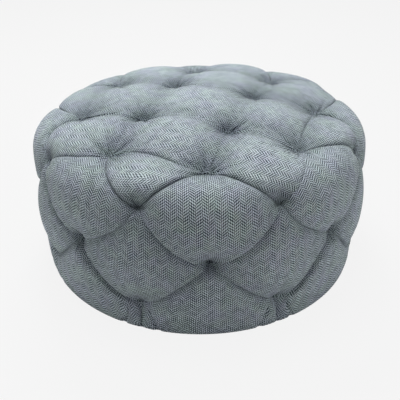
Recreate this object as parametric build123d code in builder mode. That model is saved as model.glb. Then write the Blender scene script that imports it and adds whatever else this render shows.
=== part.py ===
"""A round tufted ottoman used as a coffee table: a drum-shaped wooden frame with foam round it,
under a padded fabric cover that is drawn down into thirty-six blind tufts.

Millimetres, +Z up, origin on the floor at the middle. The front looks along -Y.
A column is an upright row of tufts. Rings 1 and 3 lie on the main columns and rings 0, 2 and 4
on the between columns, so the puffs between the tufts come out as diamonds.
"""

import math
import os

from build123d import *

os.makedirs("parts", exist_ok=True)

# Frame
frame_radius = 382
frame_height = 349
deck_thickness = 12
base_thickness = 18
base_width = 92
post_depth = 38
post_width = 45
skin_thickness = 3
rail_height = 60
rail_thickness = 20
block_depth = 30
block_width = 30
block_height = 40

# Underside
glide_height = 6
glide_radius = 13
glide_edge = 2.5
glide_count = 4
glide_inset = 27
dust_cover_thickness = 1
dust_cover_margin = 10
hem_thickness = 2
hem_return = 60

# Foam
side_foam = 15
top_foam = 30
foam_crown = 16
foam_slope = 175
foam_bevel_width = 30
foam_bevel_height = 25
foam_turn_down = 26

# Columns of tufts round the drum
columns = 8
inner_tufts = 4
front_angle = -90
front_turn = 3

# Tufts: how far each ring lies in from the foam's side, or out from it, and its height
ring_0_inset = 240
ring_0_above_deck = 51
ring_1_inset = 84
ring_1_above_deck = 34
ring_2_out = 6
ring_2_below_deck = 17
ring_3_out = 15
ring_4_out = 24
ring_4_above_hem = 74

# Puffs of the top sheet
top_crown = 92
centre_puff_radius = 335
quad_puff_radius = 246
quad_drop = 3
quad_tilt = 9
rim_diamond_radius = 170
rim_diamond_drop = 14
rim_diamond_tilt = 10
rim_triangle_radius = 222
rim_triangle_drop = 62
rim_triangle_inset = 41
rim_triangle_tilt = 41
crease_cone_depth = 217

# Puffs of the side band
rim_roll = 81
side_crown = 50
lower_puff_radius = 237
lower_puff_drop = 10
bottom_puff_radius = 264
bottom_puff_drop = 25

# Ties
twine = 3
slit = 5
hole_radius = 3
hole_sides = 6
toggle_length = 24
toggle_width = 8
toggle_thickness = 6
end_gap = 0.2

# One overrun serves every cut
overrun = 20

# Heights from the floor
hem_height = glide_height + dust_cover_thickness
base_bottom = hem_height + hem_thickness
base_top = base_bottom + base_thickness
deck_top = base_bottom + frame_height
deck_bottom = deck_top - deck_thickness
foam_top_height = deck_top + top_foam
foam_edge_height = foam_top_height - foam_crown
shoulder_height = foam_edge_height - foam_bevel_height
foam_split_height = shoulder_height - foam_turn_down

# Radii from the middle
base_inner_radius = frame_radius - base_width
skin_radius = frame_radius + skin_thickness
foam_radius = skin_radius + side_foam
shoulder_start = foam_radius - foam_bevel_width
slope_start = shoulder_start - foam_slope
post_outer = math.sqrt(frame_radius**2 - (post_width / 2) ** 2)
post_inner = post_outer - post_depth

# Angles, counted from +X
column_pitch = 360 / columns
main_column = front_angle + front_turn
between_column = main_column + column_pitch / 2
post_column = main_column + column_pitch / 4

# Tufts as (radius, height)
ring_0 = (foam_radius - ring_0_inset, deck_top + ring_0_above_deck)
ring_1 = (foam_radius - ring_1_inset, deck_top + ring_1_above_deck)
ring_2 = (foam_radius + ring_2_out, deck_top - ring_2_below_deck)
ring_4 = (foam_radius + ring_4_out, hem_height + ring_4_above_hem)
ring_3 = (foam_radius + ring_3_out, (ring_2[1] + ring_4[1]) / 2)
crown_height = deck_top + top_crown

# Rings of ties: (tuft, how many, first angle) for the top, (tuft, first angle) for the side
top_rings = ((ring_0, inner_tufts, between_column), (ring_1, columns, main_column))
side_rings = ((ring_2, between_column), (ring_3, main_column), (ring_4, between_column))


def foam_height_at(radius):
    """Height of the foam's top at a distance from the middle, flat and then sloping."""
    return foam_top_height - foam_crown * max(0, radius - slope_start) / foam_slope


def foam_radius_at(height):
    """Radius of the foam's side and bevel at a height."""
    rise = max(0, height - shoulder_height)
    return foam_radius - foam_bevel_width * rise / foam_bevel_height


def ball_centre(crest_radius, crest_height, tilt, radius):
    """Centre of the ball whose crest lies at the place given and leans outwards by tilt."""
    lean = math.radians(tilt)
    return crest_radius - radius * math.sin(lean), crest_height - radius * math.cos(lean)


def add_balls(centre, radius, count, start, turn, spread=360, endpoint=False):
    """Balls of one kind, evenly over the spread, turned so that no pole or seam shows."""
    with PolarLocations(centre[0], count, start, spread, endpoint=endpoint):
        with Locations((0, 0, centre[1])):
            Sphere(radius, rotation=turn)


def cut_side_slits(ring, start):
    """Slits through the foam of the side, one for each tie of a ring."""
    with PolarLocations(skin_radius, columns, start):
        with Locations((0, 0, ring[1])):
            Box(2 * (side_foam + overrun), slit, slit, mode=Mode.SUBTRACT)


# The foam and all that lies inside the cover, with the hem's return below it.
# Both sheets of the cover are hollowed by this one shape, so they fit the foam all over.
with BuildPart() as cover_space:
    with BuildSketch(Plane.XZ):
        with BuildLine():
            Polyline(
                (0, foam_top_height),
                (slope_start, foam_top_height),
                (shoulder_start, foam_edge_height),
                (foam_radius, shoulder_height),
                (foam_radius, base_bottom),
                (foam_radius - hem_return, base_bottom),
                (foam_radius - hem_return, hem_height - overrun),
                (0, hem_height - overrun),
                close=True,
            )
        make_face()
    revolve(axis=Axis.Z)

# The crease between the top sheet and the side band zigzags from ring 1 to ring 2.
# It is cut by a star-shaped cone, whose sides pass through those tufts and a point on the axis.
cone_tip = ring_2[1] - crease_cone_depth


def star_outline(height):
    """Corners of the star-shaped cone at a height, each in line with its tuft."""
    corners = []
    for step in range(2 * columns):
        tuft = ring_2 if step % 2 else ring_1
        reach = tuft[0] * (height - cone_tip) / (tuft[1] - cone_tip)
        angle = math.radians(main_column + step * column_pitch / 2)
        corners.append((reach * math.cos(angle), reach * math.sin(angle)))
    return corners


with BuildPart() as crease_cone:
    for height in (cone_tip + overrun, crown_height + overrun):
        with BuildSketch(Plane.XY.offset(height)):
            with BuildLine():
                Polyline(*star_outline(height), close=True)
            make_face()
    loft(ruled=True)

# Top sheet: thirteen puffs, each the cap of a ball. Two balls meet in a flat crease, and the
# creases meet in the tufts.
lying = (90, 0, 0)
about_face = (0, 0, 180)
centre_ball = (0, crown_height - centre_puff_radius)
quad_ball = ball_centre(
    (ring_0[0] + ring_1[0]) / 2,
    crown_height - quad_drop,
    quad_tilt,
    quad_puff_radius,
)
rim_diamond_ball = ball_centre(
    (ring_0[0] + ring_2[0]) / 2,
    crown_height - rim_diamond_drop,
    rim_diamond_tilt,
    rim_diamond_radius,
)
rim_triangle_ball = ball_centre(
    ring_2[0] - rim_triangle_inset,
    crown_height - rim_triangle_drop,
    rim_triangle_tilt,
    rim_triangle_radius,
)

with BuildPart() as cover_top:
    add_balls(centre_ball, centre_puff_radius, 1, between_column, lying)
    add_balls(quad_ball, quad_puff_radius, inner_tufts, between_column + column_pitch, lying)
    add_balls(rim_diamond_ball, rim_diamond_radius, inner_tufts, between_column, lying)
    add_balls(
        rim_triangle_ball,
        rim_triangle_radius,
        inner_tufts,
        between_column + column_pitch,
        lying,
    )
    add(crease_cone.part, mode=Mode.INTERSECT)
    add(cover_space.part, mode=Mode.SUBTRACT)

cover_top.part.label = "cover_top"
export_step(cover_top.part, "parts/cover_top.step")

# Side band: a puff that rolls over the rim passes through four tufts, one of ring 1, two of
# ring 2 and one of ring 3, which no ball can do, so it is the outer side of a thick ring.
# Its section is the circle through the ring 1 and ring 3 tufts that stands out by the roll.
half_chord = math.hypot(ring_3[0] - ring_1[0], ring_3[1] - ring_1[1]) / 2
roll_radius = (half_chord**2 + rim_roll**2) / (2 * rim_roll)
roll_inset = roll_radius - rim_roll
out_share = (ring_1[1] - ring_3[1]) / (2 * half_chord)
up_share = (ring_3[0] - ring_1[0]) / (2 * half_chord)
roll_centre = (
    (ring_1[0] + ring_3[0]) / 2 - roll_inset * out_share,
    (ring_1[1] + ring_3[1]) / 2 - roll_inset * up_share,
)
# How wide the ring must be to pass through the ring 2 tufts on both sides of the column
half_pitch = math.radians(column_pitch / 2)
ring_2_along = ring_2[0] * math.cos(half_pitch) - roll_centre[0]
ring_2_across = ring_2[0] * math.sin(half_pitch)
ring_2_reach = math.sqrt(roll_radius**2 - (ring_2[1] - roll_centre[1]) ** 2)
roll_path_radius = (ring_2_along**2 + ring_2_across**2 - ring_2_reach**2) / (
    2 * (ring_2_reach - ring_2_along)
)

lower_ball = ball_centre(
    foam_radius + side_crown,
    ring_3[1] - lower_puff_drop,
    90,
    lower_puff_radius,
)
bottom_ball = ball_centre(
    foam_radius + side_crown - hem_thickness,
    (ring_3[1] + hem_height) / 2 - bottom_puff_drop,
    90,
    bottom_puff_radius,
)

# One gore of the band: the two puffs on a main column, with half a lower puff on each side
gore_reach = 2 * foam_radius
with BuildPart() as gore:
    with Locations((roll_centre[0] - roll_path_radius, 0, roll_centre[1])):
        Torus(roll_path_radius, roll_radius, rotation=about_face)
    add_balls(
        lower_ball,
        lower_puff_radius,
        2,
        -column_pitch / 2,
        about_face,
        column_pitch,
        endpoint=True,
    )
    add_balls(bottom_ball, bottom_puff_radius, 1, 0, about_face)
    gore_side = gore_reach * math.tan(half_pitch)
    with BuildSketch(Plane.XY.offset(hem_height)):
        with BuildLine():
            Polyline((0, 0), (gore_reach, -gore_side), (gore_reach, gore_side), close=True)
        make_face()
    extrude(amount=crown_height, mode=Mode.INTERSECT)

with BuildPart() as cover_side:
    with PolarLocations(0, columns, start_angle=main_column):
        add(gore.part)
    add(crease_cone.part, mode=Mode.SUBTRACT)
    add(cover_space.part, mode=Mode.SUBTRACT)

cover_side.part.label = "cover_side"
export_step(cover_side.part, "parts/cover_side.step")

# Foam: the top sheet is turned down over the frame's edge and the side sheet stands below it.
# A slit lets each tie through.
with BuildPart() as foam_top:
    with BuildSketch(Plane.XZ):
        with BuildLine():
            Polyline(
                (0, foam_top_height),
                (slope_start, foam_top_height),
                (shoulder_start, foam_edge_height),
                (foam_radius, shoulder_height),
                (foam_radius, foam_split_height),
                (skin_radius, foam_split_height),
                (skin_radius, deck_top),
                (0, deck_top),
                close=True,
            )
        make_face()
    revolve(axis=Axis.Z)
    for ring, count, start in top_rings:
        with PolarLocations(ring[0], count, start):
            with Locations((0, 0, deck_top - overrun)):
                Box(
                    slit,
                    slit,
                    top_foam + 2 * overrun,
                    align=(Align.CENTER, Align.CENTER, Align.MIN),
                    mode=Mode.SUBTRACT,
                )
    cut_side_slits(ring_2, between_column)

foam_top.part.label = "foam_top"
export_step(foam_top.part, "parts/foam_top.step")

with BuildPart() as foam_side:
    with BuildSketch(Plane.XY.offset(base_bottom)):
        Circle(foam_radius)
        Circle(skin_radius, mode=Mode.SUBTRACT)
    extrude(amount=foam_split_height - base_bottom)
    cut_side_slits(ring_3, main_column)
    cut_side_slits(ring_4, between_column)

foam_side.part.label = "foam_side"
export_step(foam_side.part, "parts/foam_side.step")

# Deck: a plywood disc, drilled for the ties of the top
with BuildPart() as top_deck:
    with BuildSketch(Plane.XY.offset(deck_bottom)):
        Circle(frame_radius)
        for ring, count, start in top_rings:
            with PolarLocations(ring[0], count, start):
                RegularPolygon(hole_radius, hole_sides, mode=Mode.SUBTRACT)
    extrude(amount=deck_thickness)

top_deck.part.label = "top_deck"
export_step(top_deck.part, "parts/top_deck.step")

# Base: a plywood ring
with BuildPart() as base_ring:
    with BuildSketch(Plane.XY.offset(base_bottom)):
        Circle(frame_radius)
        Circle(base_inner_radius, mode=Mode.SUBTRACT)
    extrude(amount=base_thickness)

base_ring.part.label = "base_ring"
export_step(base_ring.part, "parts/base_ring.step")

# Uprights between the base and the deck, their outer corners just inside the skin
with BuildPart() as uprights:
    with PolarLocations(post_inner, columns, post_column):
        with Locations((0, 0, base_top)):
            Box(
                post_depth,
                post_width,
                deck_bottom - base_top,
                align=(Align.MIN, Align.CENTER, Align.MIN),
            )

uprights.part.label = "uprights"
export_step(uprights.part, "parts/uprights.step")


def add_blocks(height, seat):
    """Glue blocks beside the uprights, on the base or under the deck."""
    with PolarLocations(post_inner, columns, post_column):
        with Locations((0, post_width / 2, height)):
            Box(block_depth, block_width, block_height, align=(Align.MIN, Align.MIN, seat))


with BuildPart() as lower_glue_blocks:
    add_blocks(base_top, Align.MIN)

lower_glue_blocks.part.label = "lower_glue_blocks"
export_step(lower_glue_blocks.part, "parts/lower_glue_blocks.step")

with BuildPart() as upper_glue_blocks:
    add_blocks(deck_bottom, Align.MAX)

upper_glue_blocks.part.label = "upper_glue_blocks"
export_step(upper_glue_blocks.part, "parts/upper_glue_blocks.step")


def build_rail(angle, notch_height):
    """A rail on edge under the deck, from upright to upright, halved where it meets the other."""
    with BuildPart() as rail:
        with Locations(Location((0, 0, deck_bottom), (0, 0, angle))):
            Box(
                2 * post_inner,
                rail_thickness,
                rail_height,
                align=(Align.CENTER, Align.CENTER, Align.MAX),
            )
        with Locations(Location((0, 0, notch_height), (0, 0, angle))):
            Box(
                rail_thickness,
                rail_thickness,
                rail_height / 2,
                align=(Align.CENTER, Align.CENTER, Align.MAX),
                mode=Mode.SUBTRACT,
            )
    return rail.part


deck_rail_long = build_rail(post_column, deck_bottom - rail_height / 2)
deck_rail_long.label = "deck_rail_long"
export_step(deck_rail_long, "parts/deck_rail_long.step")

deck_rail_cross = build_rail(post_column + 90, deck_bottom)
deck_rail_cross.label = "deck_rail_cross"
export_step(deck_rail_cross, "parts/deck_rail_cross.step")

# Skin: two half rounds of hardboard that meet over two opposite uprights
with BuildPart() as hole_punch:
    with BuildSketch(Plane.YZ.offset(-overrun)):
        RegularPolygon(hole_radius, hole_sides)
    extrude(amount=2 * overrun)

with BuildPart() as side_skin:
    with BuildSketch(Plane.XY.offset(base_bottom)):
        Circle(skin_radius)
        Circle(frame_radius, mode=Mode.SUBTRACT)
    extrude(amount=frame_height)
    for ring, start in side_rings:
        with PolarLocations(frame_radius, columns, start):
            with Locations((0, 0, ring[1])):
                add(hole_punch.part, mode=Mode.SUBTRACT)

seam_angle = math.radians(post_column)
seam = Plane(
    origin=(0, 0, 0),
    x_dir=(math.cos(seam_angle), math.sin(seam_angle), 0),
    z_dir=(math.sin(seam_angle), -math.cos(seam_angle), 0),
)

with BuildPart() as side_skin_left:
    add(side_skin.part)
    split(bisect_by=seam, keep=Keep.TOP)

side_skin_left.part.label = "side_skin_left"
export_step(side_skin_left.part, "parts/side_skin_left.step")

with BuildPart() as side_skin_right:
    add(side_skin.part)
    split(bisect_by=seam, keep=Keep.BOTTOM)

side_skin_right.part.label = "side_skin_right"
export_step(side_skin_right.part, "parts/side_skin_right.step")

# Ties of the top: waxed twine from the cover down to a toggle under the deck
with BuildPart() as top_twines:
    for ring, count, start in top_rings:
        with PolarLocations(ring[0], count, start):
            with Locations((0, 0, deck_bottom)):
                Box(
                    twine,
                    twine,
                    foam_height_at(ring[0] + twine / 2) - end_gap - deck_bottom,
                    align=(Align.CENTER, Align.CENTER, Align.MIN),
                )

top_twines.part.label = "top_twines"
export_step(top_twines.part, "parts/top_twines.step")

with BuildPart() as top_toggles:
    for ring, count, start in top_rings:
        with PolarLocations(ring[0], count, start):
            with Locations((0, 0, deck_bottom)):
                Box(
                    toggle_length,
                    toggle_width,
                    toggle_thickness,
                    align=(Align.CENTER, Align.CENTER, Align.MAX),
                )

top_toggles.part.label = "top_toggles"
export_step(top_toggles.part, "parts/top_toggles.step")

# Ties of the side: the same, from the cover in to a toggle behind the skin
toggle_seat = math.sqrt(frame_radius**2 - (toggle_length / 2) ** 2)
with BuildPart() as side_twines:
    for ring, start in side_rings:
        with PolarLocations(toggle_seat, columns, start):
            with Locations((0, 0, ring[1])):
                Box(
                    foam_radius_at(ring[1] + twine / 2) - end_gap - toggle_seat,
                    twine,
                    twine,
                    align=(Align.MIN, Align.CENTER, Align.CENTER),
                )

side_twines.part.label = "side_twines"
export_step(side_twines.part, "parts/side_twines.step")

with BuildPart() as side_toggles:
    for ring, start in side_rings:
        with PolarLocations(toggle_seat, columns, start):
            with Locations((0, 0, ring[1])):
                Box(
                    toggle_thickness,
                    toggle_length,
                    toggle_width,
                    align=(Align.MAX, Align.CENTER, Align.CENTER),
                )

side_toggles.part.label = "side_toggles"
export_step(side_toggles.part, "parts/side_toggles.step")

# Dust cover under the frame, over the hem's return
with BuildPart() as dust_cover:
    with BuildSketch(Plane.XY.offset(glide_height)):
        Circle(foam_radius - dust_cover_margin)
    extrude(amount=dust_cover_thickness)

dust_cover.part.label = "dust_cover"
export_step(dust_cover.part, "parts/dust_cover.step")

# Glides: tapered nylon feet under the base, below every other upright
with BuildPart() as glides:
    with PolarLocations(frame_radius - glide_inset, glide_count, post_column):
        Cone(
            glide_radius - glide_edge,
            glide_radius,
            glide_height,
            align=(Align.CENTER, Align.CENTER, Align.MIN),
        )

glides.part.label = "glides"
export_step(glides.part, "parts/glides.step")
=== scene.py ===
"""Looks of a round tufted ottoman coffee table, upholstered in blue-grey herringbone tweed.

The cover is thirty-seven stuffed puffs between thirty-six blind tufts. Each puff is a grid on the
unrolled skin of a padded drum: its place along the skin comes from the creases round it, and its
depth below the skin from how deep those creases are drawn. Lengths are metres, written as
millimetres times MM, and angles are degrees from +X.
"""

import math

import bmesh
import bpy
import numpy as np
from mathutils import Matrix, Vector


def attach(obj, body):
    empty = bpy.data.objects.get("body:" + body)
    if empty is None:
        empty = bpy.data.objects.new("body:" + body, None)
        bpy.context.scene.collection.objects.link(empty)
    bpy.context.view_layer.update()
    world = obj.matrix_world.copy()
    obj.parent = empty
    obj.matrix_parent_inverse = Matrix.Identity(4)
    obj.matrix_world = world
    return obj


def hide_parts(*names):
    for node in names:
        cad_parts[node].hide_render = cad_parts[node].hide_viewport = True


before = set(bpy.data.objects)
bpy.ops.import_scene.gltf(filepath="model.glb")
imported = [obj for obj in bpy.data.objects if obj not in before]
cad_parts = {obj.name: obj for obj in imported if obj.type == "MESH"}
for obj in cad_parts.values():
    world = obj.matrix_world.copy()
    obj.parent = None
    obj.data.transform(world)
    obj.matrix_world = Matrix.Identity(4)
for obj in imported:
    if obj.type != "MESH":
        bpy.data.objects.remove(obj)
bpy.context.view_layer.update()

MM = 0.001

# Padded drum: the skin that the crests of the puffs touch
DRUM_TOP = 449 * MM
DOME_RUN = 383 * MM
DOME_TURN = 14
RIM_RADIUS = 86.5 * MM
RIM_TURN = 69
SIDE_RUN = 319 * MM
SIDE_TURN = 18
HEM_RADIUS = 5 * MM
HEM_RETURN = 60 * MM
PROFILE_STEP = 0.5 * MM

# Tufts as the solids have them: radius, height and first angle of each ring
COLUMNS = 8
PITCH = 360 / COLUMNS
MAIN = 3 - 90
BETWEEN = MAIN + PITCH / 2
RINGS = (
    (160 * MM, 409 * MM, BETWEEN),
    (316 * MM, 392 * MM, MAIN),
    (406 * MM, 341 * MM, BETWEEN),
    (415 * MM, 211 * MM, MAIN),
    (424 * MM, 81 * MM, BETWEEN),
)

# Creases: depth at mid length and next to a tuft's dip, and the run over which it changes
TOP_CREASE_DEPTH = 9 * MM
RIM_CREASE_DEPTH = 16 * MM
SIDE_CREASE_DEPTH = 19 * MM
PLEAT_DEPTH = 20 * MM
TUFT_BASE = 4 * MM
BASE_RUN = 15 * MM

# Bows of the creases: for each of the two handles, millimetres along the chord and aside from it
STRAIGHT = ((0, 0), (0, 0))
RIM_BOW = ((10, 8), (-6, 8))
UPPER_BOW = ((5, 28), (0, 34))
LOWER_BOW = ((8, 8), (-8, 28))
# Those that the photograph shows, by family, column and side
SEEN_BOWS = {
    ("rim", 7, 0): ((33, 14), (4, 21)),
    ("rim", 0, -1): ((4, -34), (-4, -14)),
    ("rim", 0, 0): ((4, -34), (2, -4)),
    ("rim", 1, 0): ((0, -14), (-5, -39)),
    ("rim", 7, -1): ((1, 8), (-2, -12)),
    ("upper", 7, 0): ((5, 20), (8, 38)),
    ("upper", 0, -1): ((0, 40), (2, 22)),
    ("upper", 0, 0): ((3, 32), (-3, 34)),
    ("upper", 1, -1): ((0, 15), (8, 40)),
    ("lower", 1, -1): ((-4, -30), (-6, 50)),
    ("lower", 0, 0): ((0, -3), (-3, 20)),
    ("lower", 0, -1): ((-1, -9), (-8, 22)),
    ("lower", 7, 0): ((4, 12), (-1, 36)),
    ("across", 3, 0): ((9, 48), (-1, -26)),
    ("across", 0, 0): ((0, 12), (-3, 10)),
    ("square", 3, 0): ((-2, 7), (-9, 28)),
    ("square", 1, 0): ((1, 33), (-6, 3)),
    ("spoke", 1, 0): ((1, 18), (-3, 25)),
}
# Creases that the photograph shows soft, or sharp on the top
SEEN_DEPTHS = {
    ("rim", 1, -1): 8 * MM,
    ("across", 0, 0): 15 * MM,
    ("across", 3, 0): 14 * MM,
}

# Puffs: how square their section is, how much of it stands steep at each kind of edge, and how
# quickly the steep part rises
PUFF_FLATNESS = 2.2
TOP_EDGE = 0.06
RIM_EDGE = 0.5
SIDE_EDGE = 0.6
HEM_EDGE = 0.9
EDGE_SHARE = 0.024

# Crests differ by this much from puff to puff, as a sine of their number times these steps
CREST_SPREAD = 3 * MM
TOP_CREST_STEP = 2.4
SIDE_CREST_STEP = 1.7
HEM_CREST_STEP = 2.9

# Flanks hang over the creases below them, and each pleat laps over the next puff
LIP = 5 * MM
LIP_SHARE = 0.04
LOWER_PUFF_LIP = 0.7
PLEAT_OVERLAP = 9 * MM

# Dips round the tufts, by ring: reach, and by how much it shrinks down the skin and grows up it
DIP_REACH = {0: 34 * MM, 1: 38 * MM, 2: 21 * MM, 3: 19 * MM, 4: 19 * MM}
DIP_LEAN = {0: 0, 1: 0.45, 2: 0.3, 3: 0.2, 4: 0.2}
DIP_POWER = 1.35

# Small folds that run out of a tuft: depth by ring, number in each set, width, reach and start
# as shares of the dip's, how uneven they are, and how the uneven ones turn from tuft to tuft
FOLD_DEPTH = {0: 13 * MM, 1: 13 * MM, 2: 6 * MM, 3: 5 * MM, 4: 4 * MM}
FOLD_COUNTS = (7, 11)
FOLD_WIDTH = 0.45
FOLD_REACH = 1.3
FOLD_START = 1 / 3
FOLD_UNEVEN = 0.4
FOLD_TURN = 2.1

# Fold beside each pleat: degrees from the pleat at its head and more at its foot, and the share
# of the way down over which it deepens
SIDE_FOLD_DEPTH = 6.5 * MM
SIDE_FOLD_WIDTH = 5 * MM
SIDE_FOLD_INSET = 3
SIDE_FOLD_SPREAD = 3
SIDE_FOLD_START = 0.2
# Run past the hem's edge over which pleats flatten
HEM_FLATTEN = 6 * MM

# Sag of the stuffing: waves per metre of x, y and z in radians, and phase
SLACK_HEIGHT = 1.6 * MM
SLACK_FADE = 20 * MM
SLACK_WAVES = ((31, 0, 17, 1), (0, 27, -23, 2), (19, 19, 29, 0))

# Where the photograph's outline shows fuller stuffing, with its width in degrees and its length
FULL_HEIGHT = 20 * MM
FULL_ANGLE = 33
FULL_WIDTH = 17
FULL_RUN = 455 * MM
FULL_LENGTH = 90 * MM

# Painted shade of dips and creases: depths at which it starts and at which it is full, and how
# much less of it there is on the side
SHADE_FROM = 4 * MM
SHADE_FULL = 30 * MM
SHADE_LESS_ON_SIDE = 0.4

# Grid of a puff, crowded towards its creases, and the cloth on it
GRID_STEPS = 44
RETURN_ROWS = 8
GRID_CROWDING = 0.7
CLOTH_THICKNESS = 1.6 * MM
CLOTH_TURN = math.radians(12)
CLOTH_SHIFT = 5 * MM
CLOTH_SHIFT_STEP = 3
MERGE_DISTANCE = 0.02 * MM
TINY_EDGE = 0.01 * MM
# A point well inside the drum, to tell which way is out
DRUM_MIDDLE = (0, 0, 200 * MM)

# Camera fitted to the photograph's tufts
CAMERA_AIM = Vector((0, 0, 123 * MM))
CAMERA_DISTANCE = 1795.7 * MM
CAMERA_ELEVATION = math.radians(31.8)
CAMERA_LENS = 55.65
SENSOR_WIDTH = 36


def linear(hex_code):
    """Linear colour of an sRGB hex code by the standard's curve, channel by channel."""
    values = [int(hex_code[i:i + 2], 16) / 255 for i in (1, 3, 5)]
    return [v / 12.92 if v <= 0.04045 else ((v + 0.055) / 1.055) ** 2.4 for v in values] + [1]


# ---------------------------------------------------------------- the cover's shape


def drum_profile():
    """Meridian of the padded drum, from the middle of the top out, down and under the hem.

    Each span has a length and turns at a steady rate. The heading is the running sum of the turns,
    and radius and height are the running sums of its cosine and sine.
    """
    hem_turn = 180 - DOME_TURN - RIM_TURN - SIDE_TURN
    spans = (
        (DOME_RUN, DOME_TURN),
        (RIM_RADIUS * math.radians(RIM_TURN), RIM_TURN),
        (SIDE_RUN, SIDE_TURN),
        (HEM_RADIUS * math.radians(hem_turn), hem_turn),
        (HEM_RETURN, 0),
    )
    ends = np.cumsum([0] + [length for length, turn in spans])
    headings = np.cumsum([0] + [turn for length, turn in spans])
    run = np.arange(0, ends[-1], PROFILE_STEP)
    heading = np.radians(np.interp(run, ends, headings))
    radius = np.cumsum(np.cos(heading)) * PROFILE_STEP
    height = DRUM_TOP - np.cumsum(np.sin(heading)) * PROFILE_STEP
    return run, radius, height, heading, ends


RUN, RADIUS, HEIGHT, HEADING, SPAN_ENDS = drum_profile()
HEM_RUN = SPAN_ENDS[3]


def on_skin(angle, run, depth):
    """Points at a depth below the skin, along its inward normal."""
    heading = np.interp(run, RUN, HEADING)
    radius = np.interp(run, RUN, RADIUS) - depth * np.sin(heading)
    height = np.interp(run, RUN, HEIGHT) - depth * np.cos(heading)
    turn = np.radians(angle)
    return np.stack([radius * np.cos(turn), radius * np.sin(turn), height], axis=-1)


def tuft(ring, step=0):
    """Angle, run and depth of a tuft: the nearest place on the skin and the distance from it."""
    radius, height, first = RINGS[ring]
    gap = np.hypot(RADIUS - radius, HEIGHT - height)
    nearest = int(np.argmin(gap))
    return np.array([first + step * PITCH, RUN[nearest], gap[nearest]])


def flat(angle, run):
    """Unrolled skin as a flat chart: the run is the distance from the middle."""
    turn = np.radians(angle)
    return np.stack([run * np.cos(turn), run * np.sin(turn)], axis=-1)


def crowded(steps):
    """Shares from 0 to 1 that stand closer near both ends: a line blended with a cosine."""
    even = np.linspace(0, 1, steps + 1)
    return (1 - GRID_CROWDING) * even + GRID_CROWDING * (1 - np.cos(math.pi * even)) / 2


SHARES = crowded(GRID_STEPS)


def crease(start, end, middle_depth, bow=STRAIGHT, on_top=False):
    """A crease from tuft to tuft as rows of angle, run and depth.

    Its line is a cubic Bezier curve, in the flat chart on the top and in arc length and run on the
    side. bow moves its two handles from the thirds of the chord: along it and aside, where aside
    is down the skin. Its depth is the middle's, and an exponential brings it to the tufts' base
    depth at both ends.
    """
    t = SHARES[:, None]
    if on_top:
        a, b = flat(start[0], start[1]), flat(end[0], end[1])
    else:
        radius = np.interp((start[1] + end[1]) / 2, RUN, RADIUS)
        a = np.array([0, start[1]])
        b = np.array([math.radians(end[0] - start[0]) * radius, end[1]])
    along = (b - a) / np.linalg.norm(b - a)
    aside = np.array([-along[1], along[0]]) * (1 if on_top or along[0] > 0 else -1)
    near, far = (handle[0] * MM * along + handle[1] * MM * aside for handle in bow)
    chart = a + (b - a) * t + 3 * t * (1 - t) ** 2 * near + 3 * t**2 * (1 - t) * far
    if on_top:
        run = np.hypot(chart[:, 0], chart[:, 1])
        angle = np.degrees(np.arctan2(chart[:, 1], chart[:, 0]))
        angle = start[0] + (angle - start[0] + 180) % 360 - 180
    else:
        run, angle = chart[:, 1], start[0] + np.degrees(chart[:, 0] / radius)
    corners = on_skin(*np.array([start, end]).T)
    length = np.linalg.norm(corners[1] - corners[0])
    t = SHARES
    near_tuft = np.exp(-t * length / BASE_RUN) + np.exp(-(1 - t) * length / BASE_RUN)
    depth = middle_depth + (TUFT_BASE - middle_depth) * near_tuft
    depth[0] = depth[-1] = TUFT_BASE
    return np.stack([angle, run, depth], axis=-1)


def coons(bottom, top, left, right, u, v):
    """Grid between four curves, blended as Coons does: the two ruled grids less the corners'.

    bottom and top run left to right, left and right run bottom to top.
    """
    u, v = u[None, :, None], v[:, None, None]
    across = left[:, None] * (1 - u) + right[:, None] * u
    along = bottom[None] * (1 - v) + top[None] * v
    low = bottom[0] * (1 - u) + bottom[-1] * u
    high = top[0] * (1 - u) + top[-1] * u
    return across + along - low * (1 - v) - high * v


def swell(t, first, last=None):
    """Rise of a puff across its width, from 0 at a crease to 1.

    It blends a broad superellipse with a steep edge that rises as an exponential does. The edge's
    share runs from first to last across the width, and is even where no last is given.
    """
    edge = first + (first if last is None else last) * t - first * t
    broad = 1 - np.abs(2 * t - 1) ** PUFF_FLATNESS
    steep = (1 - np.exp(-t / EDGE_SHARE)) * (1 - np.exp(-(1 - t) / EDGE_SHARE))
    return (1 - edge) * broad + edge * steep


def lip(t):
    """How far a flank leans down near its crease: it peaks once, close to it, and dies away."""
    share = t / LIP_SHARE
    return LIP * share * np.exp(1 - share)


ALL_TUFTS = [(0, 2 * k) for k in range(4)]
ALL_TUFTS += [(ring, k) for ring in (1, 2, 3, 4) for k in range(COLUMNS)]


def tuft_dips(angle, run):
    """Depth of the dips round the tufts, and of the small folds that run out of them.

    A dip falls off with distance as an exponential of a power of it, and reaches further up the
    skin than down by the sine of the bearing. The folds are bell curves over the sine of a
    multiple of the bearing, in two sets, uneven in strength, that fade further out than the dip.
    """
    radius = np.interp(run, RUN, RADIUS)
    dips, folds = np.zeros_like(run), np.zeros_like(run)
    for number, (ring, step) in enumerate(ALL_TUFTS):
        tuft_angle, tuft_run, tuft_depth = tuft(ring, step)
        across = np.radians((angle - tuft_angle + 180) % 360 - 180) * radius
        along = run - tuft_run
        distance = np.hypot(across, along)
        bearing = np.arctan2(along, across)
        reach = DIP_REACH[ring] * (1 - DIP_LEAN[ring] * np.clip(np.sin(bearing), -1, 1))
        dips += (tuft_depth - TUFT_BASE) * np.exp(-((distance / reach) ** DIP_POWER))
        fade = np.exp(-distance / (FOLD_REACH * reach)) * distance / (distance + FOLD_START * reach)
        for count in FOLD_COUNTS:
            groove = np.exp(-(np.sin(count * bearing / 2 + number * count) / FOLD_WIDTH) ** 2)
            strength = 1 - FOLD_UNEVEN + FOLD_UNEVEN * np.cos(bearing + FOLD_TURN * number + count)
            folds += FOLD_DEPTH[ring] * groove * strength * fade
    return dips, folds


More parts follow.
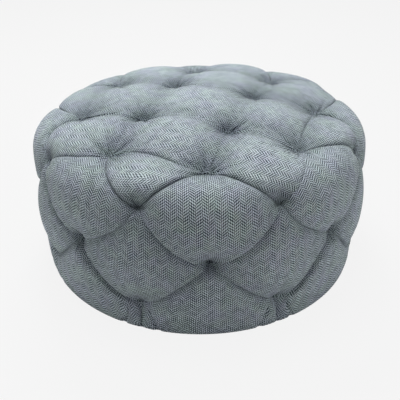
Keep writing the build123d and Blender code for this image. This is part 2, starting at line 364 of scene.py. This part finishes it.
def finished(angle, run, depth, cloth, own_folds=0):
    """Points of a puff with its dips and folds and the slow uneven sag of its stuffing.

    The sag is three crossed sine waves in space, and it fades out towards the hem. The stuffing is
    fuller at the back of the rim on the right, by a bell curve over angle and run. The cloth is
    laid out from the puff's middle by the depth too, so that it doesn't stretch on the flanks.
    Shade is painted into the cloth where it lies deep, on the side less than on the top.
    own_folds is the depth of folds that the puff has of its own. Returns points, cloth coordinates
    and the share of painted shade.
    """
    dips, folds = tuft_dips(angle, run)
    depth = depth + dips
    away = cloth - cloth.mean(axis=(0, 1))
    away /= np.linalg.norm(away, axis=-1, keepdims=True) + MM
    cloth = cloth + away * depth[..., None]
    depth = depth + folds + own_folds
    points = on_skin(angle, run, depth)
    sag = sum(np.sin(points @ wave[:3] + wave[3]) for wave in SLACK_WAVES) / len(SLACK_WAVES)
    sag = SLACK_HEIGHT * sag * np.clip((HEM_RUN - run) / SLACK_FADE, 0, 1)
    off_angle = ((angle - FULL_ANGLE + 180) % 360 - 180) / FULL_WIDTH
    off_run = (run - FULL_RUN) / FULL_LENGTH
    sag = sag + FULL_HEIGHT * np.exp(-(off_angle**2) - off_run**2)
    heading, turn = np.interp(run, RUN, HEADING), np.radians(angle)
    outward = [np.sin(heading) * np.cos(turn), np.sin(heading) * np.sin(turn), np.cos(heading)]
    # Painted shade: a share, from the depth, that darkens the cloth's colour, less on the side
    painted_shade = np.clip((depth - SHADE_FROM) / (SHADE_FULL - SHADE_FROM), 0, 1)
    painted_shade = painted_shade * (1 - SHADE_LESS_ON_SIDE * np.sin(heading))
    return points + np.stack(outward, axis=-1) * sag[..., None], cloth, painted_shade


def top_puff(bottom, top, left, right, number, edges):
    """Puff of the top sheet, on the flat chart, where its cloth lies turned and shifted a little.

    edges are how steep it stands at its bottom, top, left and right creases.
    """
    sides = [
        np.concatenate([flat(side[:, 0], side[:, 1]), side[:, 2:]], axis=1)
        for side in (bottom, top, left, right)
    ]
    x, y, depth = np.moveaxis(coons(*sides, SHARES, SHARES), -1, 0)
    rise = swell(SHARES, *edges[2:])[None, :] * swell(SHARES, *edges[:2])[:, None]
    depth = depth * (1 - rise) + CREST_SPREAD * math.sin(TOP_CREST_STEP * number) * rise
    across = x * math.sin(CLOTH_TURN) + y * math.cos(CLOTH_TURN)
    along = x * math.cos(CLOTH_TURN) - y * math.sin(CLOTH_TURN)
    cloth = np.stack([across + CLOTH_SHIFT * math.sin(CLOTH_SHIFT_STEP * number), along], axis=-1)
    return finished(np.degrees(np.arctan2(y, x)), np.hypot(x, y), depth, cloth)


def side_cloth(angle, run, middle):
    """Cloth coordinates of the side: arc length round the drum, and the run down it."""
    radius = np.interp(run, RUN, RADIUS)
    return np.stack([np.radians(angle - middle) * radius + middle * MM, run], axis=-1)


def side_diamond(low_right, low_left, up_right, up_left, middle, number, leans):
    """Puff of the side band between four creases that all start at its lowest tuft's side.

    low_right and low_left run up from the lowest tuft; up_left and up_right end at the highest.
    leans are the shares of the lip on the lower and the upper flanks.
    """
    u, v = SHARES[None, :], SHARES[:, None]
    grid = coons(low_right, up_left, low_left, up_right, SHARES, SHARES)
    angle, run, depth = np.moveaxis(grid, -1, 0)
    rise = swell(u, SIDE_EDGE) * swell(v, SIDE_EDGE)
    crest = CREST_SPREAD * math.sin(SIDE_CREST_STEP * number + 1)
    depth = depth * (1 - rise) + crest * rise
    wide, tall = swell(u, 0), swell(v, 0)
    lower = lip(u) * tall + lip(v) * wide
    upper = lip(1 - u) * tall + lip(1 - v) * wide
    run = run + leans[0] * lower + leans[1] * upper
    return finished(angle, run, depth, side_cloth(angle, run, middle))


def hem_puff(low_creases, pleat_left, pleat_right, middle, number):
    """Puff of the lowest row: it hangs from three tufts, turns under the hem and is flat there.

    Its right edge laps over the pleat there, most at the hem. A second fold stands beside each
    pleat and spreads from it towards the hem, as a bell curve over the distance from its line.
    """
    u = np.concatenate([SHARES / 2, 0.5 + SHARES[1:] / 2])
    hem_angle = pleat_left[0, 0] + (pleat_right[0, 0] - pleat_left[0, 0]) * u
    hem_depth = np.full_like(u, PLEAT_DEPTH)
    hem = np.stack([hem_angle, np.full_like(u, pleat_left[0, 1]), hem_depth], axis=-1)
    grid = coons(hem, low_creases, pleat_left, pleat_right, u, SHARES)
    angle, run, depth = np.moveaxis(grid, -1, 0)
    v = SHARES[:, None] + 0 * u[None]
    rise = swell(u, HEM_EDGE)[None] * swell(0.5 + v / 2, SIDE_EDGE)
    crest = CREST_SPREAD * math.sin(HEM_CREST_STEP * number) * v
    depth = depth * (1 - rise) + crest * rise
    run = run + lip(1 - v) * swell(u, 0)[None]
    overlap = PLEAT_OVERLAP / LIP * lip(1 - u)[None] * (1 - v**4)
    angle = angle + np.degrees(overlap / np.interp(run, RUN, RADIUS))

    # Rows round the hem's edge and under the base, where pleats lie flat
    first = run[0, 0]
    extra = np.linspace(first, SPAN_ENDS[-1] - PROFILE_STEP, RETURN_ROWS + 1)[1:][::-1]
    flatten = np.exp(-(extra - first) / HEM_FLATTEN)[:, None]
    low_depth = depth[:1] * flatten
    angle = np.concatenate([np.repeat(angle[:1], RETURN_ROWS, axis=0), angle])
    run = np.concatenate([np.repeat(extra[:, None], len(u), axis=1), run])
    depth = np.concatenate([low_depth, depth])

    tuft_run = pleat_left[-1, 1]
    down = np.clip((run - tuft_run) / (HEM_RUN - tuft_run), 0, 1)
    fold_at = PITCH / 2 - SIDE_FOLD_INSET - SIDE_FOLD_SPREAD * down
    radius = np.interp(run, RUN, RADIUS)
    off_fold = np.radians(np.abs(angle - middle) - fold_at) * radius / SIDE_FOLD_WIDTH
    shown = (run > tuft_run) * (run < HEM_RUN) * np.clip(down / SIDE_FOLD_START, 0, 1)
    fold = SIDE_FOLD_DEPTH * np.exp(-off_fold**2) * shown
    return finished(angle, run, depth, side_cloth(angle, run, middle), fold)


def bow_of(family, column, side, usual):
    """A crease's own bow where the photograph shows it, and the usual one elsewhere."""
    return SEEN_BOWS.get((family, column % COLUMNS, side), usual)


def depth_of(family, column, side, usual):
    """A crease's own depth where the photograph shows it, and the usual one elsewhere."""
    return SEEN_DEPTHS.get((family, column % COLUMNS, side), usual)


def rim_crease(column, side):
    """Crease from a column's ring 1 tuft out to the ring 2 tuft before (-1) or after (0) it."""
    bow = bow_of("rim", column, side, RIM_BOW)
    depth = depth_of("rim", column, side, RIM_CREASE_DEPTH)
    return crease(tuft(1, column), tuft(2, column + side), depth, bow)


def upper_crease(column, side):
    """Crease up from a column's ring 3 tuft to the ring 2 tuft before (-1) or after (0) it."""
    bow = bow_of("upper", column, side, UPPER_BOW)
    return crease(tuft(3, column), tuft(2, column + side), SIDE_CREASE_DEPTH, bow)


def lower_crease(column, side):
    """Crease from a column's ring 3 tuft down to the ring 4 tuft before (-1) or after (0) it."""
    bow = bow_of("lower", column, side, LOWER_BOW)
    return crease(tuft(3, column), tuft(4, column + side), SIDE_CREASE_DEPTH, bow)


def top_crease(family, number, start, end):
    """Crease of the top sheet, straight where the photograph shows no bow."""
    bow = bow_of(family, number, 0, STRAIGHT)
    depth = depth_of(family, number, 0, TOP_CREASE_DEPTH)
    return crease(start, end, depth, bow, on_top=True)


def top_puffs():
    """The thirteen puffs of the top: a square, four quads, four rim diamonds, four triangles."""
    inner = [tuft(0, 2 * k) for k in range(4)]
    square = [top_crease("square", k, inner[k], inner[(k + 1) % 4]) for k in range(4)]
    soft, steep = TOP_EDGE, RIM_EDGE
    puffs = [top_puff(square[0], square[2][::-1], square[3][::-1], square[1], 0, (soft,) * 4)]
    for k in range(4):
        # Inner tuft k stands between the main columns 2k and 2k + 1
        here, after, next_one = tuft(1, 2 * k), tuft(1, 2 * k + 1), tuft(1, 2 * k + 2)
        to_here = top_crease("spoke", 2 * k, inner[k], here)
        to_after = top_crease("spoke", 2 * k + 1, inner[k], after)
        rim_here, rim_after = rim_crease(2 * k, 0), rim_crease(2 * k + 1, -1)
        corners = (rim_here, to_after, to_here[::-1], rim_after[::-1])
        puffs.append(top_puff(*corners, 5 + k, (steep, soft, soft, steep)))

        across = top_crease("across", k, after, next_one)
        to_next = top_crease("spoke", 2 * k + 2, inner[(k + 1) % 4], next_one)
        corners = (across, square[k], to_after[::-1], to_next[::-1])
        edge = steep if ("across", k, 0) in SEEN_DEPTHS else soft
        puffs.append(top_puff(*corners, 1 + k, (edge, soft, soft, soft)))

        left, right = rim_crease(2 * k + 1, 0), rim_crease(2 * k + 2, -1)
        point = np.repeat(left[-1:], GRID_STEPS + 1, axis=0)
        corners = (point, across, left[::-1], right[::-1])
        puffs.append(top_puff(*corners, 9 + k, (soft, edge, steep, steep)))
    return puffs


def side_puffs():
    """The twenty-four puffs of the side: eight upper, eight lower and eight at the hem."""
    puffs = []
    for k in range(COLUMNS):
        upper_left, upper_right = upper_crease(k, -1), upper_crease(k, 0)
        rim_left, rim_right = rim_crease(k, -1)[::-1], rim_crease(k, 0)[::-1]
        corners = (upper_right, upper_left, rim_right, rim_left)
        puffs.append(side_diamond(*corners, MAIN + k * PITCH, k, (1, 0)))

        # The lower puff hangs under ring 2 between this column and the next
        low_left, low_right = lower_crease(k, 0)[::-1], lower_crease(k + 1, -1)[::-1]
        corners = (low_right, low_left, upper_crease(k + 1, -1), upper_right)
        middle = BETWEEN + k * PITCH
        puffs.append(side_diamond(*corners, middle, COLUMNS + k, (1, LOWER_PUFF_LIP)))

        left, right = lower_crease(k, -1)[::-1], lower_crease(k, 0)
        pleats = []
        for column in (k - 1, k):
            top = tuft(4, column)
            foot = np.array([top[0], HEM_RUN - 2 * HEM_RADIUS, PLEAT_DEPTH])
            pleats.append(crease(foot, top, PLEAT_DEPTH))
            # A pleat has no tuft at its foot, and stays deep there
            pleats[-1][0, 2] = PLEAT_DEPTH
        pair = np.concatenate([left, right[1:]])
        puffs.append(hem_puff(pair, *pleats, MAIN + k * PITCH, 2 * COLUMNS + k))
    return puffs


def joined(name, puffs):
    """One mesh of all the puffs' grids, merged along their creases.

    It carries its cloth coordinates as a UV map and the share of painted shade as an attribute.
    A grid whose normal points inwards at its middle has its columns turned round.
    """
    points, cloths, painted_shades, faces, count = [], [], [], [], 0
    for grid, cloth, painted_shade in puffs:
        rows, columns = grid.shape[:2]
        r, c = rows // 2, columns // 2
        normal = np.cross(grid[r, c + 1] - grid[r, c], grid[r + 1, c] - grid[r, c])
        if normal @ (grid[r, c] - np.array(DRUM_MIDDLE)) < 0:
            grid, cloth, painted_shade = grid[:, ::-1], cloth[:, ::-1], painted_shade[:, ::-1]
        index = count + np.arange(rows * columns).reshape(rows, columns)
        corners = (index[:-1, :-1], index[:-1, 1:], index[1:, 1:], index[1:, :-1])
        faces.append(np.stack(corners, axis=-1).reshape(-1, 4))
        points.append(grid.reshape(-1, 3))
        cloths.append(cloth.reshape(-1, 2))
        painted_shades.append(painted_shade.ravel())
        count += rows * columns
    points, cloths, painted_shades, faces = map(np.concatenate, (points, cloths, painted_shades, faces))
    mesh = bpy.data.meshes.new(name)
    mesh.from_pydata(points, [], faces)
    layer = mesh.uv_layers.new(name="cloth")
    layer.data.foreach_set("uv", cloths[faces.ravel()].astype(np.float32).ravel())
    # The attribute carries the painted shade of dips and creases to the material
    mesh.attributes.new("painted_shade", "FLOAT", "POINT").data.foreach_set("value", painted_shades)
    work = bmesh.new()
    work.from_mesh(mesh)
    bmesh.ops.remove_doubles(work, verts=work.verts, dist=MERGE_DISTANCE)
    bmesh.ops.dissolve_degenerate(work, edges=work.edges, dist=TINY_EDGE)
    work.to_mesh(mesh)
    work.free()
    mesh.shade_smooth()
    piece = bpy.data.objects.new(name, mesh)
    bpy.context.scene.collection.objects.link(piece)
    wall = piece.modifiers.new("cloth", "SOLIDIFY")
    wall.thickness = CLOTH_THICKNESS
    wall.offset = -1
    return piece


# ---------------------------------------------------------------- materials

# In what follows a noise node takes its place, scale, detail and roughness, in this order

# Herringbone, measured in the photograph: columns of slanted strokes, and how far apart they are
COLUMN_WIDTH = 14.8 * MM
STROKE_PITCH = 7.3 * MM
# A column is one and a half strokes high from side to side, so that they meet halfway
STROKE_SLOPE = 1.5 * STROKE_PITCH / COLUMN_WIDTH
# Warp yarns to a column, as the fine upright stripes in the photograph show
WARP_YARNS = 3
WARP_CONTRAST = 0.4
# Thick and thin places of the yarns, and how much each stroke's tone differs
SLUB_SIZE = 2.4 * MM
SLUB_CONTRAST = 1.3
TONE_CONTRAST = 0.25
# Values between which the dark yarn gives way to the light one
YARN_EDGE = (0.23, 0.77)
# Single fibres are far finer than this, and are drawn as coarse as they need to be to show
FIBRE_SIZE = 0.9 * MM
# Slow bend of the columns, and patches of the dye
BEND_SIZE = 40 * MM
BEND = 5 * MM
DYE_SIZE = 60 * MM


def material(name):
    """An empty node material and its tree."""
    made = bpy.data.materials.new(name)
    made.use_nodes = True
    made.node_tree.nodes.clear()
    return made, made.node_tree


def add(tree, kind, links=(), **settings):
    """Adds a shader node: settings are its properties, links its inputs.

    links is a dictionary, or a tuple over the inputs in use, in their order. Its values are plain
    ones, sockets, or nodes, where a node stands for its first output in use.
    """
    node = tree.nodes.new("ShaderNode" + kind)
    for key, value in settings.items():
        setattr(node, key, value)
    if not isinstance(links, dict):
        in_use = [index for index, socket in enumerate(node.inputs) if socket.enabled]
        links = dict(zip(in_use, links))
    for key, value in links.items():
        if isinstance(value, bpy.types.Node):
            value = next(socket for socket in value.outputs if socket.enabled)
        if isinstance(value, bpy.types.NodeSocket):
            tree.links.new(value, node.inputs[key])
        else:
            node.inputs[key].default_value = value
    return node


def finish_surface(tree, colour, height, rough, relief, **sockets):
    """Principled surface with a bump from a height, and the material's output."""
    bump = add(tree, "Bump", {"Height": height, "Distance": relief, "Strength": 1.0})
    links = {"Base Color": colour, "Roughness": rough, "Normal": bump}
    links.update({key.replace("_", " "): value for key, value in sockets.items()})
    add(tree, "OutputMaterial", (add(tree, "BsdfPrincipled", links),))


def herringbone_tweed():
    """Herringbone tweed: matt brushed wool-like yarns, a light warp over a dark weft.

    Columns of slanted strokes change their slope from one to the next. The light and dark yarns
    are uneven, the nap catches light at grazing angles, and the dye varies slowly.
    """
    made, tree = material("herringbone tweed, woven and brushed")
    cloth = add(tree, "UVMap", uv_map="cloth")
    wobble = add(tree, "TexNoise", (cloth, 1 / BEND_SIZE, 1.0)).outputs["Color"]
    bent = add(tree, "VectorMath", (wobble, (BEND, BEND, 0), cloth), operation="MULTIPLY_ADD")
    across, along = add(tree, "SeparateXYZ", (bent,)).outputs[:2]

    # Every other column leans back, and a wave across the strokes makes them light and dark
    columns = add(tree, "Math", (across, COLUMN_WIDTH), operation="DIVIDE")
    column = add(tree, "Math", (columns,), operation="FLOOR")
    parity = add(tree, "Math", (column, 2.0), operation="FLOORED_MODULO")
    way = add(tree, "Math", (parity, -2.0, 1.0), operation="MULTIPLY_ADD")
    part = add(tree, "Math", (columns, column), operation="SUBTRACT")
    part = add(tree, "Math", (part, way), operation="MULTIPLY")
    lean = add(tree, "Math", (part, COLUMN_WIDTH * STROKE_SLOPE, along), operation="MULTIPLY_ADD")
    strokes = add(tree, "Math", (lean, STROKE_PITCH), operation="DIVIDE")
    turns = add(tree, "Math", (strokes, 2 * math.pi), operation="MULTIPLY")
    wave = add(tree, "Math", (turns,), operation="SINE")
    light = add(tree, "Math", (wave, 0.5, 0.5), operation="MULTIPLY_ADD")

    # Each stroke has its own tone, and thick and thin places break it up
    corner = add(tree, "Math", (strokes, 0.25), operation="ADD")
    corner = add(tree, "Math", (corner,), operation="FLOOR")
    cell = add(tree, "CombineXYZ", (column, corner))
    tone = add(tree, "TexWhiteNoise", (cell,), noise_dimensions="2D")
    slubs = add(tree, "TexNoise", (cloth, 1 / SLUB_SIZE, 3.0, 0.7))
    for pattern, contrast in ((slubs, SLUB_CONTRAST), (tone, TONE_CONTRAST)):
        uneven = add(tree, "Math", (pattern, 0.5), operation="SUBTRACT")
        light = add(tree, "Math", (uneven, contrast, light), operation="MULTIPLY_ADD")

    # Warp yarns run along the columns, dark between them, and so darkest where columns meet
    turns = add(tree, "Math", (columns, 2 * math.pi * WARP_YARNS), operation="MULTIPLY")
    warp = add(tree, "Math", (turns,), operation="COSINE")
    light = add(tree, "Math", (warp, -WARP_CONTRAST, light), operation="MULTIPLY_ADD")
    light = add(tree, "MapRange", (light, *YARN_EDGE), interpolation_type="SMOOTHSTEP")
    colour = add(tree, "Mix", (light, linear("#2F3C45"), linear("#E2ECF0")), data_type="RGBA")

    # The dye drifts between a green and a violet cast, and single fibres differ. Shade is painted
    # into the colour in dips and creases, the deeper ones darker
    patches = add(tree, "TexNoise", (cloth, 1 / DYE_SIZE, 2.0, 0.5))
    drift = add(tree, "MapRange", (patches, 0.35, 0.65))
    fibre = add(tree, "TexNoise", (cloth, 1 / FIBRE_SIZE, 2.0, 0.6))
    # Painted shade: the mesh's share darkens the colour towards #868C91 in dips and creases
    painted_shade = add(tree, "Attribute", attribute_name="painted_shade").outputs["Fac"]
    for share, low, high in (
        (drift, "#EFF7F2", "#F0F0FA"),
        (fibre, "#D0D0D0", "#FFFFFF"),
        (painted_shade, "#FFFFFF", "#868C91"),
    ):
        cast = add(tree, "Mix", (share, linear(low), linear(high)), data_type="RGBA")
        links = (1.0, colour, cast)
        colour = add(tree, "Mix", links, data_type="RGBA", blend_type="MULTIPLY")
    height = add(tree, "Math", (fibre, 0.5, light), operation="MULTIPLY_ADD")
    sheen = {"Sheen_Weight": 0.08, "Sheen_Roughness": 0.45, "Specular_IOR_Level": 0.2}
    finish_surface(tree, colour, height, 0.92, 0.5 * MM, **sheen)
    return made


def upholstery_foam():
    """Open-cell polyurethane foam: pale cream, quite matt, pitted by cut cells of about 1.5 mm."""
    made, tree = material("polyurethane foam, open-cell, cut")
    place = add(tree, "TexCoord").outputs["Object"]
    cells = add(tree, "TexVoronoi", {"Vector": place, "Scale": 1 / (1.5 * MM)})
    aged = add(tree, "TexNoise", (place, 1 / (90 * MM), 2.0, 0.5))
    colour = add(tree, "Mix", (aged, linear("#F2ECD6"), linear("#E0D4B0")), data_type="RGBA")
    finish_surface(tree, colour, cells, 0.95, 0.8 * MM)
    return made


def birch_plywood():
    """Birch plywood, sanded: faces with a faint long grain, edges striped by plies of 1.5 mm."""
    made, tree = material("birch plywood, sanded")
    place = add(tree, "TexCoord").outputs["Object"]
    stretched = add(tree, "Mapping", {"Vector": place, "Scale": (1, 14, 1)})
    grain = add(tree, "TexNoise", (stretched, 1 / (60 * MM), 4.0, 0.6))
    height = add(tree, "SeparateXYZ", (place,)).outputs["Z"]
    turns = add(tree, "Math", (height, math.pi / (1.5 * MM)), operation="MULTIPLY")
    plies = add(tree, "Math", (turns,), operation="SINE")
    dark_ply = add(tree, "Math", (plies, 0.0), operation="GREATER_THAN")
    normal = add(tree, "NewGeometry").outputs["Normal"]
    upright = add(tree, "SeparateXYZ", (normal,)).outputs["Z"]
    upright = add(tree, "Math", (upright,), operation="ABSOLUTE")
    edge = add(tree, "Math", (1.0, upright), operation="SUBTRACT")
    stripe = add(tree, "Math", (dark_ply, edge), operation="MULTIPLY")
    colour = add(tree, "Mix", (grain, linear("#DDBF93"), linear("#C9A574")), data_type="RGBA")
    colour = add(tree, "Mix", (stripe, colour, linear("#96713F")), data_type="RGBA")
    finish_surface(tree, colour, grain, 0.62, 0.3 * MM)
    return made


def band_scale(pitch):
    """Scale of a wave texture whose bands are a pitch apart: a tenth of pi over the pitch."""
    return math.pi / (10 * pitch)


def planed_pine():
    """Planed pine: yellow early wood and darker late wood every 4 mm, a satin cut surface."""
    made, tree = material("pine, planed")
    place = add(tree, "TexCoord").outputs["Object"]
    stretched = add(tree, "Mapping", {"Vector": place, "Scale": (1, 1, 0.15)})
    links = {"Vector": stretched, "Scale": band_scale(4 * MM), "Distortion": 5.0}
    rings = add(tree, "TexWave", links, wave_type="RINGS").outputs["Fac"]
    colour = add(tree, "Mix", (rings, linear("#E3C48E"), linear("#C08E50")), data_type="RGBA")
    finish_surface(tree, colour, rings, 0.55, 0.2 * MM)
    return made


def pressed_hardboard():
    """Hardboard: brown pressed wood fibre, smooth with a slight speckle of 2 mm fibres."""
    made, tree = material("hardboard, pressed fibre")
    place = add(tree, "TexCoord").outputs["Object"]
    fibre = add(tree, "TexNoise", (place, 1 / (2 * MM), 4.0, 0.7))
    colour = add(tree, "Mix", (fibre, linear("#5E422B"), linear("#8A6748")), data_type="RGBA")
    finish_surface(tree, colour, fibre, 0.5, 0.15 * MM)
    return made


def waxed_twine():
    """Waxed upholstery twine: pale cotton, slightly shiny, with a twist about every 2 mm."""
    made, tree = material("cotton twine, waxed")
    place = add(tree, "TexCoord").outputs["Object"]
    links = {"Vector": place, "Scale": band_scale(2 * MM), "Distortion": 0.5}
    twist = add(tree, "TexWave", links, bands_direction="DIAGONAL").outputs["Fac"]
    colour = add(tree, "Mix", (twist, linear("#B5AA8E"), linear("#E0D8C0")), data_type="RGBA")
    finish_surface(tree, colour, twist, 0.45, 0.3 * MM)
    return made


def sawn_beech():
    """Beech off-cuts: pinkish tan, with the short dark flecks of its rays, sawn and not sanded."""
    made, tree = material("beech, sawn")
    place = add(tree, "TexCoord").outputs["Object"]
    stretched = add(tree, "Mapping", {"Vector": place, "Scale": (1, 5, 5)})
    flecks = add(tree, "TexNoise", (stretched, 1 / (6 * MM), 3.0, 0.7))
    colour = add(tree, "Mix", (flecks, linear("#B98A5C"), linear("#DDB98C")), data_type="RGBA")
    finish_surface(tree, colour, flecks, 0.7, 0.3 * MM)
    return made


def black_nonwoven():
    """Black spun-bonded cloth: matt, with a point bond every 3 mm and loose fibres between."""
    made, tree = material("polypropylene cloth, spun-bonded")
    place = add(tree, "TexCoord").outputs["Object"]
    links = {"Vector": place, "Scale": 1 / (3 * MM), "Randomness": 0.15}
    bonds = add(tree, "TexVoronoi", links)
    fibre = add(tree, "TexNoise", (place, 1 / (1.2 * MM), 4.0, 0.8))
    tone = add(tree, "Math", (bonds, fibre), operation="MULTIPLY")
    colour = add(tree, "Mix", (tone, linear("#131314"), linear("#3A3A3C")), data_type="RGBA")
    finish_surface(tree, colour, bonds, 0.85, 0.4 * MM)
    return made


def moulded_nylon():
    """Moulded nylon: near black, with a soft gloss and a fine spark-eroded grain of 0.6 mm.

    The real grain is finer, and is drawn as coarse as it needs to be to show.
    """
    made, tree = material("nylon, moulded")
    place = add(tree, "TexCoord").outputs["Object"]
    grain = add(tree, "TexNoise", (place, 1 / (0.6 * MM), 2.0, 0.6))
    colour = add(tree, "Mix", (grain, linear("#1A1A1B"), linear("#29292B")), data_type="RGBA")
    finish_surface(tree, colour, grain, 0.42, 0.05 * MM, IOR=1.53)
    return made


# ---------------------------------------------------------------- build the object

tweed = herringbone_tweed()
for name, node, puffs in (
    ("tufted_top", "cover_top", top_puffs()),
    ("tufted_side", "cover_side", side_puffs()),
):
    piece = joined(name, puffs)
    piece.data.materials.append(tweed)
    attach(piece, "root")
    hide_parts(node)

foam, plywood, pine = upholstery_foam(), birch_plywood(), planed_pine()
hardboard, twine, beech = pressed_hardboard(), waxed_twine(), sawn_beech()
carried = {
    "foam_top": foam,
    "foam_side": foam,
    "top_deck": plywood,
    "base_ring": plywood,
    "deck_rail_long": pine,
    "deck_rail_cross": pine,
    "uprights": pine,
    "upper_glue_blocks": pine,
    "lower_glue_blocks": pine,
    "side_skin_left": hardboard,
    "side_skin_right": hardboard,
    "top_twines": twine,
    "side_twines": twine,
    "top_toggles": beech,
    "side_toggles": beech,
    "dust_cover": black_nonwoven(),
    "glides": moulded_nylon(),
}
for name, made in carried.items():
    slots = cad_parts[name].data.materials
    slots.clear()
    slots.append(made)

# ---------------------------------------------------------------- floor, light and camera

BACKDROP = "#F5F5F5"
FLOOR_REACH = 20
# Share of the floor that is backdrop to the camera; the rest is paint that shows the shadow
FLOOR_GLOW = 0.96
WORLD_FILL = 0.13

# Softboxes: place, point they face, side in metres and power in watts
SOFTBOXES = {
    "back_softbox": ((-0.4, 1.7, 2.5), (0, 0, 0.3), 1.0, 64),
    "overhead_softbox": ((-0.2, 0.2, 3.0), (0, 0, 0.3), 1.2, 54),
    "left_softbox": ((-2.8, -1.0, 0.8), (0, 0, 0.2), 2.0, 15),
    "right_softbox": ((2.8, -1.0, 0.8), (0, 0, 0.2), 2.0, 25),
}


def seen_directly(tree):
    """1 for rays from the camera, and for the ones that gloss and glass show."""
    rays = add(tree, "LightPath").outputs
    seen = add(tree, "Math", (rays["Is Camera Ray"], rays["Is Glossy Ray"]), operation="MAXIMUM")
    return add(tree, "Math", (seen, rays["Is Transmission Ray"]), operation="MAXIMUM")


def studio_floor():
    """Pale painted floor: an even off-white that keeps a faint soft shadow."""
    made, tree = material("studio floor, painted")
    paint = add(tree, "BsdfDiffuse", (linear("#F2F2F2"),))
    glow = add(tree, "Emission", (linear(BACKDROP), 1.0))
    share = add(tree, "Math", (seen_directly(tree), FLOOR_GLOW), operation="MULTIPLY")
    add(tree, "OutputMaterial", (add(tree, "MixShader", (share, paint, glow)),))
    return made


floor_mesh = bpy.data.meshes.new("studio_floor")
floor_corners = [(-1, -1, 0), (1, -1, 0), (1, 1, 0), (-1, 1, 0)]
floor_mesh.from_pydata(np.array(floor_corners) * FLOOR_REACH, [], [(0, 1, 2, 3)])
floor_mesh.materials.append(studio_floor())
floor = bpy.data.objects.new("studio_floor", floor_mesh)
bpy.context.scene.collection.objects.link(floor)

world = bpy.data.worlds.new("studio")
bpy.context.scene.world = world
world.use_nodes = True
sky = world.node_tree
sky.nodes.clear()
fill = add(sky, "Background", (linear("#FFFFFF"), WORLD_FILL))
backdrop = add(sky, "Background", (linear(BACKDROP), 1.0))
add(sky, "OutputWorld", (add(sky, "MixShader", (seen_directly(sky), fill, backdrop)),))

for name, (place, aim, side, power) in SOFTBOXES.items():
    lamp = bpy.data.lights.new(name, "AREA")
    lamp.shape = "SQUARE"
    lamp.size = side
    lamp.energy = power
    holder = bpy.data.objects.new(name, lamp)
    holder.location = place
    holder.rotation_euler = (Vector(aim) - Vector(place)).to_track_quat("-Z", "Y").to_euler()
    bpy.context.scene.collection.objects.link(holder)

camera = bpy.data.objects.new("camera", bpy.data.cameras.new("camera"))
camera.data.sensor_width = SENSOR_WIDTH
camera.data.lens = CAMERA_LENS
away = Vector((0, -math.cos(CAMERA_ELEVATION), math.sin(CAMERA_ELEVATION)))
camera.location = CAMERA_AIM + away * CAMERA_DISTANCE
camera.rotation_euler = (-away).to_track_quat("-Z", "Y").to_euler()
bpy.context.scene.collection.objects.link(camera)
bpy.context.scene.camera = camera
bpy.context.scene.view_settings.view_transform = "Standard"
